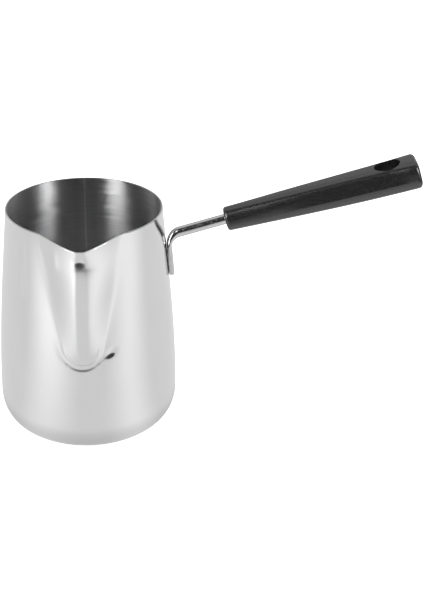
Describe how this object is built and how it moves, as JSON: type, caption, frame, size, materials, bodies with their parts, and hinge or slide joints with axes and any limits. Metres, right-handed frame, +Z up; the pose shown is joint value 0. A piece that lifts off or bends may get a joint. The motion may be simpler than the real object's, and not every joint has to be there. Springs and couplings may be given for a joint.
{
  "type": "candle melting pot",
  "caption": "Drawn steel melting pot with a V pouring lip and flute, on a bent rod handle with a moulded grip that has a hanging hole.",
  "frame": {"origin": "centre of the flat underside of the base", "axes": "+Z up out of the pot's mouth, the pouring lip along -Y, the handle along +X"},
  "size_m": [0.2371, 0.104, 0.1625],
  "materials": {
    "pot_steel": "polished outside, brushed round the inside",
    "rod_steel": "polished",
    "phenolic": "satin moulding",
    "brass": "machined",
    "weld_metal": "as welded"
  },
  "bodies": {
    "root": {"pot_body": "pot_steel", "handle_rod": "rod_steel", "handle_grip": "phenolic", "grip_insert": "brass", "spot_weld_lower": "weld_metal", "spot_weld_upper": "weld_metal"}
  },
  "joints": []
}
